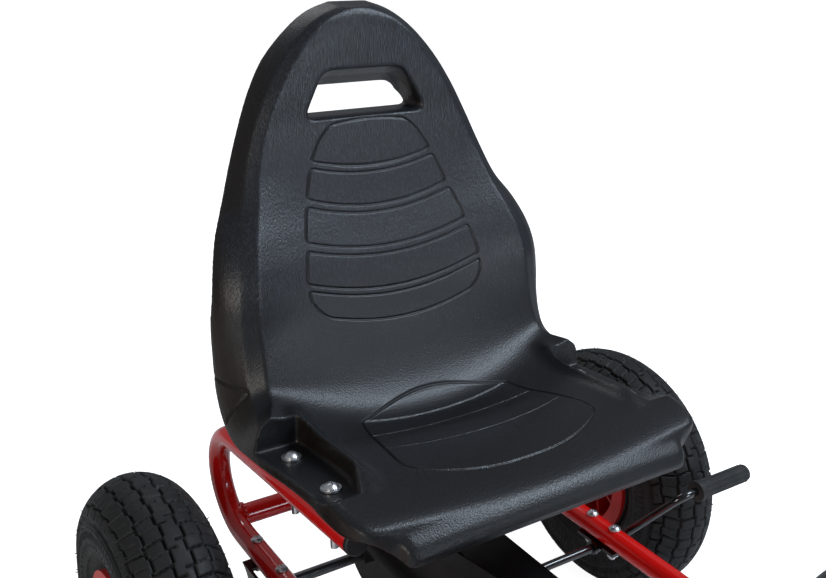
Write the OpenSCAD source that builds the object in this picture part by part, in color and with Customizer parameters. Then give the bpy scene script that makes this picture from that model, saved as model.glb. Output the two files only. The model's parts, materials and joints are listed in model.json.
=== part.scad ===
// Pedal go-kart: tube side frame, box beam, chain drive to the rear axle, raked
// steering with two tie rods, hand brake, moulded seat and four pneumatic wheels.
// Origin on the ground midway between the axles. -Y is forward, +X is the driver's
// left. Inside the modules y is counted from the rear axle.

/* [Wheels] */
// Outside diameter of each tyre
tyre_d = 260; // [255:1:264]
// Width of each tyre
tyre_w = 85; // [82:1:86]
// Distance between the two rear wheel centres
track = 500; // [494:1:510]
// Distance from the rear axle to the front axle
wheelbase = 700; // [695:1:720]

/* [Frame] */
// Diameter of the side frame tube
rail_d = 20; // [19:0.5:21]
// Distance between the lower side tubes
rail_gap = 290; // [284:1:294]
// Height of the lower side tubes
rail_z = 145.5; // [145.5:0.5:147]
// Width and height of the box beam
beam_w = 48; // [46:1:48]

/* [Drive] */
// Teeth on the crank sprocket
crank_teeth = 24; // [22:1:26]
// Teeth on the axle sprocket
axle_teeth = 16; // [15:1:18]
// Length of each pedal crank arm
crank_len = 85; // [75:1:88]

/* [Steering] */
// Lean of the steering column from the vertical
rake = 32; // [30:1:34]
// Outside diameter of the steering wheel
wheel_d = 244; // [220:1:260]

/* [Hidden] */
$fn = 64;
// clearances, round a running shaft and round a fastener
run = 0.05;
loose = 0.15;
// how far a straight tube laps over a turn, and how much thinner the turn is
lap = 0.4;
hair = 0.03;
// wheels and axles
tyre_r = tyre_d / 2;
axle_z = tyre_r;
axle_d = 10;
wheel_x = track / 2;
bead_r = 50;
flange_r = 60;
rim_w = 76;
hub_r = 18;
hub_w = 64;
bearing_r = 13;
bearing_w = 8;
carcass_r = tyre_w / 2;
carcass_at = tyre_r - carcass_r;
spokes = 10;
// side frame
rail_x = rail_gap / 2;
rail_t = 1.5;
rail_id = rail_d - 2 * rail_t;
rail_back = 114.6;
rail_slope = 0.1;
rail_top_z = 250.4;
rail_front = -149;
loop_lean = 2.2;
rail_rise = rail_top_z - rail_z;
slope_a = atan(rail_slope);
loop_r = (rail_rise - rail_slope * rail_back) / (1 + 1 / cos(slope_a) - rail_slope);
loop_y = rail_back - loop_r;
seat_rail_x = rail_x + rail_rise * tan(loop_lean) + 0.2;
dip_y = -210;
dip_r = 60;
dip_a = 30;
dip_z = 105;
dip_run = (rail_z - dip_z - 2 * dip_r * (1 - cos(dip_a))) / sin(dip_a);
cross_y = dip_y - 2 * dip_r * sin(dip_a) - dip_run * cos(dip_a) - dip_r - 1;
back_tube_y = 88;
back_tube_z = 151;
// box beam
beam_x = beam_w / 2;
beam_top = 185;
beam_low = beam_top - beam_w;
beam_back = 74;
beam_front = -772;
beam_t = 2.5;
// bolts: radius of the M6 and M8 threads
m6 = 3;
m8 = 4;
bracket_y = [38, -13];
brake_bolt_y = [-88, -118];
seat_bolt_y = [-50, -115.5];
beam_bolt_x = 13;
tab_y = 50;
tab_z = 133;
// chain drive
pitch = 12.7;
links = 108;
drive_x = -40;
crank_z = 200;
teeth_sum = 2 * links - crank_teeth - axle_teeth;
teeth_gap = crank_teeth - axle_teeth;
centres = pitch / 8 * (teeth_sum + sqrt(pow(teeth_sum, 2) - 8 * pow(teeth_gap / PI, 2)));
crank_y = -sqrt(pow(centres, 2) - pow(crank_z - axle_z, 2));
chain_tilt = atan2(crank_z - axle_z, -crank_y);
axle_pitch_r = pitch / 2 / sin(180 / axle_teeth);
crank_pitch_r = pitch / 2 / sin(180 / crank_teeth);
wrap_a = asin((crank_pitch_r - axle_pitch_r) / centres);
case_r = 40;
case_front_r = 62;
case_low = -50;
case_high = -30;
case_t = 2;
case_mid = (case_low + case_high) / 2;
case_screws = [for (u = [180, 290, 400]) [-u * cos(chain_tilt), axle_z + u * sin(chain_tilt)]];
crank_d = 14;
shell_x = 25;
arm_x = 59;
pedal_in = 66;
pedal_out = 138;
// steering
wheel_c = [0, -530, 420];
col_d = 16;
pitman_at = 257;
pitman_r = 38;
pitman_t = 4.2;
head_top = 170;
head_low = 245;
axle_front_y = -wheelbase;
king_x = 186;
king_r = 5;
arm_z = 160;
eye_t = 8;
eye_r = 8;
eye_gap = 2.8;
eye_slack = 1.1;
pin_r = 4;
// front shield: an arc about a line along x, its screws by side and angle
shield_r = 300;
shield_t = 3;
shield_y = beam_front - 0.2 + sqrt(pow(shield_r - shield_t, 2) - pow(beam_x, 2));
shield_z = beam_low + beam_x;
shield_holes = [[15, 0], [7, 25.5]];
// brake
brake_y = -103;
brake_z = 130;
brake_d = 8;
drum_r = 35;
drum_x = 31;
drum_w = 15;

// ---------------------------------------------------------------- helpers

module from_rear_axle() {
    translate([0, wheelbase / 2, 0]) children();
}

module along_x(r, x0, x1) {
    translate([x0, 0, 0]) rotate([0, 90, 0]) cylinder(r = r, h = x1 - x0);
}

module along_y(r, y0, y1) {
    translate([0, y0, 0]) rotate([-90, 0, 0]) cylinder(r = r, h = y1 - y0);
}

module along_z(r, z0, z1) {
    translate([0, 0, z0]) cylinder(r = r, h = z1 - z0);
}

module block(low, high) {
    translate(low) cube(high - low);
}

module both_sides() {
    children();
    mirror([1, 0, 0]) children();
}

// a 2D outline in (y, z), stood up and drawn out along x
module sheet_x(x0, x1) {
    translate([x0, 0, 0]) rotate([90, 0, 90]) linear_extrude(x1 - x0) children();
}

// stretched circle between two centres, with true arcs and no hull; its flats
// are a hair inside the tangents, so they cross the arcs cleanly
module slot_2d(a, b, ra, rb) {
    d = norm(b - a);
    lean = asin((ra - rb) / d);
    turn = atan2(b[1] - a[1], b[0] - a[0]);
    up = turn + 90 - lean;
    down = turn - 90 + lean;
    pa = ra - hair;
    pb = rb - hair;
    translate(a) circle(ra);
    translate(b) circle(rb);
    polygon([a + pa * [cos(up), sin(up)], a + pa * [cos(down), sin(down)],
        b + pb * [cos(down), sin(down)], b + pb * [cos(up), sin(up)]]);
}

module ring_2d(outer, inner) {
    difference() {
        circle(outer);
        circle(inner);
    }
}

// pan-head screw: underside of the head at the origin, shank down -Z
module screw(r, long, head_r, head_h) {
    difference() {
        union() {
            along_z(r, -long, 0.01);
            intersection() {
                along_z(head_r, 0, head_h);
                translate([0, 0, -head_r * 0.55]) sphere(head_r * 1.2);
            }
        }
        for (a = [0, 90])
            rotate([0, 0, a])
                translate([-head_r * 0.55, -0.6, head_h * 0.45]) cube([head_r * 1.1, 1.2, head_h]);
    }
}

// hexagon nut standing on the origin
module nut(r, flats, high) {
    difference() {
        cylinder(r = flats / 2 / cos(30), h = high, $fn = 6);
        along_z(r + run, -1, high + 1);
    }
}

// ---------------------------------------------------------------- bent tube

// A run of tube starts at the origin and heads along +X. Each step is
// ["go", length] or ["turn", roll, radius, angle]: roll is about the heading,
// and the turn is towards the rolled +Z. A turn's wall is a hair thinner than
// the straights', which lap over its ends, so the run is one solid.
module tube_run(steps, outer, inner, i = 0) {
    if (i < len(steps)) {
        s = steps[i];
        if (s[0] == "go") {
            past = i == len(steps) - 1 ? 0 : lap;
            translate([-lap, 0, 0]) rotate([90, 0, 90])
                linear_extrude(s[1] + lap + past) ring_2d(outer, inner);
            translate([s[1], 0, 0]) tube_run(steps, outer, inner, i + 1);
        } else {
            rotate([s[1], 0, 0]) {
                translate([0, 0, s[2]]) rotate([90, 0, 0]) rotate([0, 0, -90])
                    rotate_extrude(angle = s[3]) translate([s[2], 0])
                        ring_2d(outer - hair, inner > 0 ? inner + hair : 0);
                translate([s[2] * sin(s[3]), 0, s[2] * (1 - cos(s[3]))]) rotate([0, -s[3], 0])
                    tube_run(steps, outer, inner, i + 1);
            }
        }
    }
}

upper_len = (loop_y + loop_r * sin(slope_a) - rail_front) / cos(slope_a);
upper_run = [["turn", loop_lean, loop_r, 180 - slope_a], ["go", upper_len]];
lower_run = [["go", loop_y - dip_y], ["turn", 180, dip_r, dip_a], ["go", dip_run],
    ["turn", 180, dip_r, dip_a], ["go", 1], ["turn", 90, dip_r, 90], ["go", rail_x - dip_r]];

module half_rail(outer, inner) {
    translate([rail_x, loop_y, rail_z]) {
        rotate([0, 0, 90]) tube_run(upper_run, outer, inner);
        rotate([0, 0, -90]) tube_run(lower_run, outer, inner);
    }
}

// the lean about the lower tube's own axis, in which the upper tube is straight
module in_loop_plane() {
    translate([rail_x, 0, rail_z]) rotate([0, loop_lean, 0]) children();
}

module side_frame() color("firebrick") from_rear_axle() difference() {
    union() {
        both_sides() half_rail(rail_d / 2, rail_id / 2);
        // rear cross tube, its ends buried in the bends' walls
        difference() {
            translate([0, back_tube_y, back_tube_z]) along_x(rail_d / 2, -rail_x, rail_x);
            translate([0, back_tube_y, back_tube_z])
                along_x(rail_id / 2, -rail_x + rail_d / 2, rail_x - rail_d / 2);
            both_sides() translate([rail_x, loop_y, rail_z]) rotate([0, 0, 90])
                tube_run(upper_run, rail_id / 2 + 0.3, 0);
        }
        // tab under the beam's rear end
        block([-20, 30, tab_z], [20, 82, beam_low]);
        block([-20, 76, tab_z], [20, 80, back_tube_z]);
        // saddle under the front of the beam
        block([-22, cross_y - 11, dip_z + 4], [22, cross_y + 11, beam_low]);
    }
    both_sides() {
        for (y = concat(bracket_y, brake_bolt_y))
            translate([rail_x, y, 0]) along_z(m6 + loose, rail_z - 15, rail_z + 15);
        for (y = seat_bolt_y) at_seat_bolt(y) {
            along_z(m6 + loose, -15, 0);
            // pocket for the threaded insert in the top wall
            along_z(4.5 + run, 0, 15);
        }
        translate([beam_bolt_x, cross_y, 0]) along_z(m8 + loose, 80, 150);
    }
    translate([0, tab_y, 0]) along_z(m8 + loose, tab_z - 5, beam_low + 5);
}

// a seat bolt's own axis, square to the upper tube and starting in its middle
module at_seat_bolt(y) {
    translate([seat_rail_x, y, rail_top_z - rail_slope * y]) rotate([-slope_a, 0, 0]) children();
}

module rail_plugs() color("#181818") from_rear_axle() both_sides() in_loop_plane()
    translate([0, rail_front, rail_rise - rail_slope * rail_front]) rotate([-slope_a, 0, 0]) {
        along_y(rail_id / 2 - run, 0, 12);
        rotate([90, 0, 0]) rotate_extrude() {
            square([rail_d / 2 - 2, 4]);
            square([rail_d / 2, 2]);
            translate([rail_d / 2 - 2, 2]) circle(1.99);
        }
    }

// ---------------------------------------------------------------- box beam

module in_column(at = 0) {
    translate(wheel_c) rotate([-rake, 0, 0]) translate([0, 0, -at]) children();
}

module main_beam() color("#101010") from_rear_axle() difference() {
    union() {
        block([-beam_x, beam_front, beam_low], [beam_x, beam_back, beam_top]);
        // crank shell on top of the beam
        translate([0, crank_y, crank_z]) along_x(18, -shell_x, shell_x);
        // steering head tube on its post
        in_column(head_low) along_z(14, 0, head_low - head_top);
        block([-14, -647.5, beam_top - 1], [14, -622, 236]);
        // front axle tube with the kingpin sleeves
        translate([0, axle_front_y, axle_z]) along_x(12.5, -king_x, king_x);
        both_sides() translate([king_x, axle_front_y, 0]) along_z(10, axle_z - 25, axle_z + 25);
        // stay out to the front shield, with its end turned up behind it
        block([-12, -750, 268], [12, -638, 272]);
        intersection() {
            shield_arc(shield_r - shield_t - 0.2, shield_r - shield_t - 3.2, 12);
            block([-12, -760, 268], [12, -700, 300]);
        }
        // inner ear of the brake rod
        block([beam_x - 1, brake_y - 11, brake_z - 11], [beam_x + 4, brake_y + 11, beam_low + 14]);
        // spacers that carry the chain case
        case_bosses(7, case_high, -beam_x + 1);
    }
    block([-beam_x + beam_t, beam_front + beam_t, beam_low + beam_t],
        [beam_x - beam_t, beam_back - beam_t, beam_top - beam_t]);
    translate([0, crank_y, crank_z]) along_x(12, -30, 30);
    in_column(head_low) along_z(10.5, -5, head_low - head_top + 5);
    translate([0, axle_front_y, axle_z]) along_x(10.5, -king_x + 13, king_x - 13);
    both_sides() {
        translate([king_x, axle_front_y, 0]) along_z(king_r + run, axle_z - 30, axle_z + 30);
        translate([beam_bolt_x, cross_y, 0]) along_z(m8 + loose, 120, 200);
    }
    translate([0, tab_y, 0]) along_z(m8 + loose, 120, 200);
    translate([0, brake_y, brake_z]) along_x(brake_d / 2 + 0.07, beam_x - 2, beam_x + 6);
    case_bosses(2.2, case_high - 1, -beam_x + beam_t + 1);
    // screw holes for the shield, low in the end plate and high in the stay
    shield_screw_holes();
}

module beam_bolts() color("silver") from_rear_axle() {
    both_sides() translate([beam_bolt_x, cross_y, beam_top]) screw(m8, 102, 7.5, 5);
    translate([0, tab_y, beam_top]) screw(m8, 64, 7.5, 5);
}

module lock_nuts() color("silver") from_rear_axle() {
    both_sides() translate([beam_bolt_x, cross_y, dip_z - rail_d / 2 - 7]) nut(m8, 13, 7);
    translate([0, tab_y, tab_z - 7]) nut(m8, 13, 7);
}

// ---------------------------------------------------------------- rear axle

module axle_bracket() {
    difference() {
        union() {
            // two feet under the tube, with the gap between them for the axle
            block([rail_x - 11, 27, rail_z - 13.5], [rail_x + 14, 48, rail_z - 10.5]);
            block([rail_x - 11, -24, rail_z - 13.5], [rail_x + 14, -7, rail_z - 10.5]);
            block([rail_x + 11, -24, axle_z - 16], [rail_x + 14, 48, rail_z - 10.5]);
        }
        for (y = bracket_y)
            translate([rail_x, y, 0]) along_z(m6 + loose, rail_z - 20, rail_z);
        translate([0, 0, axle_z]) along_x(8 + run, rail_x, rail_x + 20);
        // cut-away corner of the ear
        translate([0, 48, axle_z - 16]) along_x(22, rail_x, rail_x + 20);
    }
}

module axle_bracket_left() color("#101010") from_rear_axle() axle_bracket();
module axle_bracket_right() color("#101010") from_rear_axle() mirror([1, 0, 0]) axle_bracket();

module axle_bushes() color("whitesmoke") from_rear_axle() both_sides() translate([rail_x + 11, 0, axle_z])
    difference() {
        union() {
            along_x(8, -2, 5);
            along_x(11, 3.05, 6);
        }
        along_x(axle_d / 2 + run, -5, 10);
    }

module frame_bolts() color("silver") from_rear_axle() {
    both_sides() for (y = bracket_y)
        translate([rail_x, y, rail_z + rail_d / 2]) screw(m6, 32, 5.5, 4);
    for (y = brake_bolt_y)
        translate([rail_x, y, rail_z + rail_d / 2]) screw(m6, 32, 5.5, 4);
}

module frame_nuts() color("silver") from_rear_axle() {
    both_sides() for (y = bracket_y)
        translate([rail_x, y, rail_z - 18.5]) nut(m6, 10, 5);
    for (y = brake_bolt_y) translate([rail_x, y, rail_z - 18.5]) nut(m6, 10, 5);
}

axle_end = wheel_x + hub_w / 2 + 9.5;
pin_x = wheel_x - hub_w / 2 + 8;
sprocket_pin_x = drive_x + 11;

module rear_axle() color("#222222") from_rear_axle() difference() {
    translate([0, 0, axle_z]) {
        along_x(axle_d / 2, -axle_end, axle_end);
        // shoulders that hold the wheels apart
        both_sides() along_x(9, wheel_x - hub_w / 2 - 5, wheel_x - hub_w / 2 - 0.5);
    }
    translate([-pin_x, 0, 0]) along_z(3.05, 100, 160);
    translate([sprocket_pin_x, 0, 0]) along_z(2.05, 100, 160);
}

module axle_pins() color("silver") from_rear_axle() {
    translate([-pin_x, 0, 0]) along_z(3, axle_z - hub_r - 1, axle_z + hub_r + 1);
    translate([sprocket_pin_x, 0, 0]) along_z(2, axle_z - 11, axle_z + 11);
}

module rear_axle_nuts() color("silver") from_rear_axle() both_sides()
    translate([wheel_x + hub_w / 2 + 1, 0, axle_z]) rotate([0, 90, 0]) nut(axle_d / 2, 17, 8);

// toothed plate centred on the origin in (y, z), a roller seat at angle 0
module sprocket_2d(teeth, pitch_r) {
    roller = 3.95;
    step = 360 / teeth;
    tip_r = pitch_r + 2.6;
    difference() {
        polygon([for (i = [0:teeth - 1], a = [0.32, 0.46, 0.54, 0.68])
            (a < 0.4 || a > 0.6 ? pitch_r : tip_r) * [cos((i + a) * step), sin((i + a) * step)]]);
        for (i = [0:teeth - 1])
            translate(pitch_r * [cos(i * step), sin(i * step)]) circle(roller, $fn = 24);
    }
}

module rear_sprocket() color("silver") from_rear_axle() translate([0, 0, axle_z]) difference() {
    union() {
        rotate([-chain_tilt, 0, 0])
            sheet_x(drive_x - 1.3, drive_x + 1.3) sprocket_2d(axle_teeth, axle_pitch_r);
        along_x(11, drive_x + 1, drive_x + 14.5);
    }
    along_x(axle_d / 2 + run, drive_x - 5, drive_x + 20);
    translate([sprocket_pin_x, 0, 0]) along_z(2.05, -20, 20);
}

module brake_drum() color("gray") from_rear_axle() translate([0, 0, axle_z]) difference() {
    along_x(drum_r, drum_x, drum_x + drum_w);
    along_x(drum_r - 3, drum_x + 3, drum_x + drum_w + 1);
    along_x(axle_d / 2 + run, drum_x - 1, drum_x + 10);
}

// ---------------------------------------------------------------- wheels

// each wheel is drawn with its centre at the origin and +X outboard
module tyre() color("#202020") rotate([0, 90, 0]) rotate_extrude() difference() {
    union() {
        translate([carcass_at, 0]) circle(carcass_r);
        translate([bead_r + 0.1, -rim_w / 2 + 5.2]) square([16, rim_w - 10.4]);
    }
    translate([carcass_at, 0]) circle(carcass_r - 6);
    translate([bead_r - 8, -24]) square([29, 48]);
    for (z = [-14, 14]) translate([tyre_r - 4, z - 1.2]) square([8, 2.4]);
}

valve_x = 16;

module inner_tube() color("#303030") difference() {
    union() {
        rotate([0, 90, 0]) rotate_extrude() translate([carcass_at, 0]) circle(carcass_r - 6.4);
        translate([valve_x, 0, 0]) along_z(3.5, 28, carcass_at - carcass_r + 12);
    }
    rotate([0, 90, 0]) rotate_extrude() translate([carcass_at, 0]) circle(carcass_r - 8);
}

module rim(driven) color("firebrick") difference() {
    union() {
        rotate([0, 90, 0]) rotate_extrude() {
            translate([bead_r - 4, -rim_w / 2]) square([4, rim_w]);
            for (z = [-rim_w / 2, rim_w / 2 - 5])
                translate([bead_r - 4, z]) square([flange_r - bead_r + 4, 5]);
        }
        along_x(hub_r, -hub_w / 2, hub_w / 2);
        along_x(bead_r - 3, 6, 10);
        for (i = [0:spokes - 1])
            rotate([(i + 0.5) * 360 / spokes, 0, 0]) block([-22, -1.5, hub_r - 3], [22, 1.5, bead_r - 3]);
    }
    if (driven) {
        along_x(axle_d / 2 + run, -40, 40);
        translate([-hub_w / 2 + 8, 0, 0]) along_z(3.05, -30, 30);
    } else {
        along_x(axle_d / 2 + 3, -40, 40);
        for (x = [-hub_w / 2 - 1, hub_w / 2 - bearing_w])
            along_x(bearing_r + run, x, x + bearing_w + 1);
    }
    // the valve's hole through the barrel
    translate([valve_x, 0, 0]) along_z(4, 26, bead_r + 5);
}

module bearings() color("silver") for (x = [-hub_w / 2, hub_w / 2 - bearing_w]) difference() {
    along_x(bearing_r, x, x + bearing_w);
    along_x(axle_d / 2 + run, x - 1, x + bearing_w + 1);
    for (s = [x - 1, x + bearing_w - 0.6]) difference() {
        along_x(bearing_r - 2.5, s, s + 1.6);
        along_x(axle_d / 2 + 2.5, s - 1, s + 3);
    }
}

module at_wheel(side, y) {
    from_rear_axle() translate([side * wheel_x, y, axle_z]) rotate([0, 0, side < 0 ? 180 : 0]) children();
}

module tyre_rear_left() at_wheel(1, 0) tyre();
module tube_rear_left() at_wheel(1, 0) inner_tube();
module rim_rear_left() at_wheel(1, 0) rim(false);
module bearings_rear_left() at_wheel(1, 0) bearings();
module tyre_rear_right() at_wheel(-1, 0) tyre();
module tube_rear_right() at_wheel(-1, 0) inner_tube();
module rim_rear_right() at_wheel(-1, 0) rim(true);
module tyre_front_left() at_wheel(1, axle_front_y) tyre();
module tube_front_left() at_wheel(1, axle_front_y) inner_tube();
module rim_front_left() at_wheel(1, axle_front_y) rim(false);
module bearings_front_left() at_wheel(1, axle_front_y) bearings();
module tyre_front_right() at_wheel(-1, axle_front_y) tyre();
module tube_front_right() at_wheel(-1, axle_front_y) inner_tube();
module rim_front_right() at_wheel(-1, axle_front_y) rim(false);
module bearings_front_right() at_wheel(-1, axle_front_y) bearings();

// ---------------------------------------------------------------- chain case

module case_2d(shrink) {
    slot_2d([0, axle_z], [crank_y, crank_z], case_r - shrink, case_front_r - shrink);
}

module case_bosses(r, x0, x1) {
    for (p = case_screws) translate([0, p[0], p[1]]) along_x(r, x0, x1);
}

module chain_case_outer() color("#141414") from_rear_axle() difference() {
    union() {
        difference() {
            sheet_x(case_low, case_mid) case_2d(0);
            sheet_x(case_low + case_t, case_mid + 1) case_2d(case_t);
        }
        intersection() {
            case_bosses(5, case_low, case_mid);
            sheet_x(case_low, case_mid) case_2d(0);
        }
        // ledge along the outer face
        block([case_low - 11, -150, 143], [case_low + 1, -8, 146]);
        block([case_low - 11, -11, 128], [case_low + 1, -8, 146]);
    }
    translate([0, 0, axle_z]) along_x(7, case_low - 20, case_high);
    translate([0, crank_y, crank_z]) along_x(9, case_low - 5, case_high);
    case_bosses(2.2, case_low - 1, case_mid + 1);
}

module chain_case_inner() color("#141414") from_rear_axle() difference() {
    union() {
        difference() {
            sheet_x(case_mid, case_high) case_2d(0);
            sheet_x(case_mid - 1, case_high - case_t) case_2d(case_t);
        }
        intersection() {
            case_bosses(5, case_mid, case_high);
            sheet_x(case_mid, case_high) case_2d(0);
        }
    }
    translate([0, 0, axle_z]) along_x(12.5, case_low, case_high + 5);
    translate([0, crank_y, crank_z]) along_x(19, case_low, case_high + 5);
    case_bosses(2.2, case_mid - 1, case_high + 1);
}

module panel_screws() color("silver") from_rear_axle() {
    for (p = case_screws) translate([case_low, p[0], p[1]]) rotate([0, -90, 0]) screw(2, 26, 4, 2.5);
    both_sides() for (p = shield_holes)
        at_shield(p) translate([0, -shield_r - 0.05, 0]) rotate([90, 0, 0]) screw(2, 10, 4.5, 2.5);
}

module at_shield(p) {
    translate([p[0], shield_y, shield_z]) rotate([-p[1], 0, 0]) children();
}

module shield_screw_holes() {
    both_sides() for (p = shield_holes)
        at_shield(p) along_y(2.2, -shield_r - 1, -shield_r + 12);
}

module shield_arc(outer, inner, half_w) {
    translate([0, shield_y, shield_z]) difference() {
        along_x(outer, -half_w, half_w, $fn = 128);
        along_x(inner, -half_w - 1, half_w + 1, $fn = 128);
    }
}

module front_shield() color("#141414") from_rear_axle() difference() {
    intersection() {
        shield_arc(shield_r, shield_r - shield_t, 140);
        // outline seen from the front
        translate([0, -660, 0]) rotate([90, 0, 0]) linear_extrude(130) {
            both_sides() slot_2d([95, 165], [70, 325], 25, 25.5);
            polygon([[-95, 140], [95, 140], [95, 165], [70, 350], [-70, 350], [-95, 165]]);
        }
    }
    shield_screw_holes();
    // two hand-wide vents
    for (z = [205, 232]) translate([0, -700, z]) rotate([90, 0, 0]) linear_extrude(120)
        slot_2d([-45, 0], [45, 0], 6, 6.01);
}

// ---------------------------------------------------------------- chain

module loop_2d(grow) {
    slot_2d([0, axle_z], [crank_y, crank_z], axle_pitch_r + grow, crank_pitch_r + grow);
}

axle_step = 360 / axle_teeth;
crank_step = 360 / crank_teeth;
axle_seats = floor((90 - wrap_a) / axle_step);
crank_seats = floor((90 + wrap_a) / crank_step);
// path between the last seat of one sprocket and the first of the other
lead_in = axle_pitch_r * (90 - wrap_a - axle_seats * axle_step) * PI / 180;
lead_out = crank_pitch_r * (90 + wrap_a - crank_seats * crank_step) * PI / 180;
free_links = (links - 2 * (axle_seats + crank_seats + 1)) / 2;
link_gap = (lead_in + centres * cos(wrap_a) + lead_out) / (free_links + 1);

// rollers of the two straight runs, as [along the centre line, across it]; none
// stand where the teeth of a turning sprocket pass
tooth_reach = 6.6;
rollers = [for (k = [1:free_links], side = [-1, 1])
    let (far = k * link_gap - lead_in, p = [far * cos(wrap_a) - axle_pitch_r * sin(wrap_a),
        side * (axle_pitch_r * cos(wrap_a) + far * sin(wrap_a))])
    if (norm(p) > axle_pitch_r + tooth_reach && norm(p - [centres, 0]) > crank_pitch_r + tooth_reach) p];

module drive_chain() color("dimgray") from_rear_axle() {
    for (x = [drive_x - 4, drive_x + 2.6]) sheet_x(x, x + 1.4) difference() {
        loop_2d(4);
        loop_2d(-4);
    }
    translate([0, 0, axle_z]) rotate([-chain_tilt, 0, 0]) for (p = rollers)
        translate([0, -p[0], p[1]]) along_x(3.8, drive_x - 2.7, drive_x + 2.7, $fn = 20);
}

// ---------------------------------------------------------------- crank and pedals

crank_turn = 20;

module in_crank() {
    translate([0, crank_y, crank_z]) rotate([crank_turn, 0, 0]) children();
}

module pedal_crank() color("silver") from_rear_axle() in_crank() {
    along_x(crank_d / 2, -arm_x, arm_x);
    for (s = [0, 180]) rotate([0, 0, s]) {
        // arm with round ends, forward on the left and rearward on the right
        sheet_x(arm_x - 4, arm_x + 4) slot_2d([0, 0], [-crank_len, 0], 12, 9);
        translate([0, -crank_len, 0]) along_x(axle_d / 2, arm_x, pedal_out + 6);
    }
    // collars beside the shell
    both_sides() along_x(11, shell_x + 2.1, shell_x + 4.4);
}

module crank_bushes() color("whitesmoke")
    from_rear_axle() translate([0, crank_y, crank_z]) both_sides() difference() {
    union() {
        along_x(12 - run / 2, shell_x - 12, shell_x);
        along_x(15, shell_x, shell_x + 2);
    }
    along_x(crank_d / 2 + run, 10, 30);
}

module crank_sprocket() color("silver") from_rear_axle() translate([0, crank_y, crank_z]) difference() {
    rotate([180 - chain_tilt, 0, 0])
        sheet_x(drive_x - 1.3, drive_x + 1.3) sprocket_2d(crank_teeth, crank_pitch_r);
    along_x(crank_d / 2 + run, drive_x - 5, drive_x + 5);
    for (i = [0:4]) rotate([i * 72, 0, 0]) translate([0, 0, 30]) along_x(9, drive_x - 5, drive_x + 5);
}

module pedal() {
    difference() {
        union() {
            block([pedal_in, -28, -9], [pedal_out, 28, 9]);
            for (y = [-28, 28]) translate([0, y, 0]) along_x(9, pedal_in, pedal_out);
            // grip bars on both faces
            for (y = [-20, -7, 7, 20], z = [-9, 9])
                translate([0, y, z]) along_x(1.8, pedal_in + 4, pedal_out - 4);
        }
        along_x(axle_d / 2 + run, pedal_in - 5, pedal_out + 5);
        for (x = [pedal_in + 14, pedal_in + 40], y = [-24, 11])
            block([x, y, -20], [x + 18, y + 13, 20]);
    }
}

module pedal_left() color("#181818") from_rear_axle() in_crank()
    translate([0, -crank_len, 0]) rotate([-crank_turn, 0, 0]) pedal();
module pedal_right() color("#181818") from_rear_axle() in_crank()
    translate([0, crank_len, 0]) rotate([-crank_turn, 0, 0]) mirror([1, 0, 0]) pedal();

module pedal_caps() color("silver") from_rear_axle() in_crank() for (s = [0, 180]) rotate([0, 0, s])
    translate([0, -crank_len, 0]) difference() {
        along_x(8, pedal_out + 0.4, pedal_out + 8);
        along_x(axle_d / 2 + run, pedal_out - 1, pedal_out + 6.1);
    }

// ---------------------------------------------------------------- steering

module steering_column() color("silver") from_rear_axle() in_column(pitman_at) {
    along_z(col_d / 2, -2, pitman_at - 8);
    // pitman arm and its pin
    along_z(13, 0, 5);
    translate([-7, -pitman_r, 0]) cube([14, pitman_r, pitman_t]);
    translate([0, -pitman_r, 0]) along_z(7, 0, pitman_t);
    translate([0, -pitman_r, 0]) {
        along_z(pin_r, -13, 19);
        along_z(5.5, -14, -11.2);
        along_z(5, pitman_t - 0.1, 5.6);
        along_z(6.5, eye_t + 8.9, 19.5);
    }
    // collars above and below the head tube
    along_z(12, pitman_at - head_top + 2.4, pitman_at - head_top + 7);
    along_z(12, pitman_at - head_low - 5, pitman_at - head_low - 2.4);
}

module steering_bushes() color("whitesmoke") from_rear_axle() {
    in_column(head_low) difference() {
        union() {
            along_z(10.5 - run / 2, 0, 14);
            along_z(14, -2, 0);
        }
        along_z(col_d / 2 + run, -5, 20);
    }
    in_column(head_top) difference() {
        union() {
            along_z(10.5 - run / 2, -14, 0);
            along_z(14, 0, 2);
        }
        along_z(col_d / 2 + run, -20, 5);
    }
}

grip_r = 12;

module steering_wheel() color("#181818") from_rear_axle() in_column() difference() {
    union() {
        rotate_extrude($fn = 96) translate([wheel_d / 2 - grip_r, 0]) circle(grip_r);
        along_z(26, -22, 4);
        for (a = [90, 210, 330]) rotate([0, 0, a - 90])
            block([-9, -(wheel_d / 2 - grip_r), -7], [9, -15, -1]);
    }
    along_z(col_d / 2 + run, -30, -8 + run);
    along_z(20.1, -2, 10);
}

module steering_cap() color("dimgray") from_rear_axle() in_column() {
    along_z(20, -2, 4);
    intersection() {
        along_z(20, 3, 12);
        translate([0, 0, -46]) sphere(54);
    }
}

// tie rod drawn for the left side: the inner eye's centre and the outer eye's
function inner_eye(up) = wheel_c
    + (up - pitman_at) * [0, sin(rake), cos(rake)] + pitman_r * [0, -cos(rake), sin(rake)];
outer_eye = [king_x, axle_front_y - pitman_r, arm_z + 2 + eye_gap + eye_t / 2];

module tie_rod(up) {
    from = inner_eye(up);
    way = outer_eye - from;
    long = norm(way);
    difference() {
        union() {
            translate(from) rotate([0, acos(way[2] / long), atan2(way[1], way[0])])
                along_z(4, 4, long - 5);
            translate(from) rotate([-rake, 0, 0]) along_z(eye_r, -eye_t / 2, eye_t / 2);
            translate(outer_eye) along_z(eye_r + 1.5, -eye_t / 2, eye_t / 2);
        }
        translate(from) rotate([-rake, 0, 0]) along_z(pin_r + run, -eye_t, eye_t);
        translate(outer_eye) along_z(pin_r + eye_slack, -eye_t, eye_t);
    }
}

module tie_rod_left() color("silver") from_rear_axle() tie_rod(8.5 + eye_t / 2);
module tie_rod_right() color("silver") from_rear_axle() mirror([1, 0, 0]) tie_rod(-0.4 - eye_t / 2);

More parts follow.
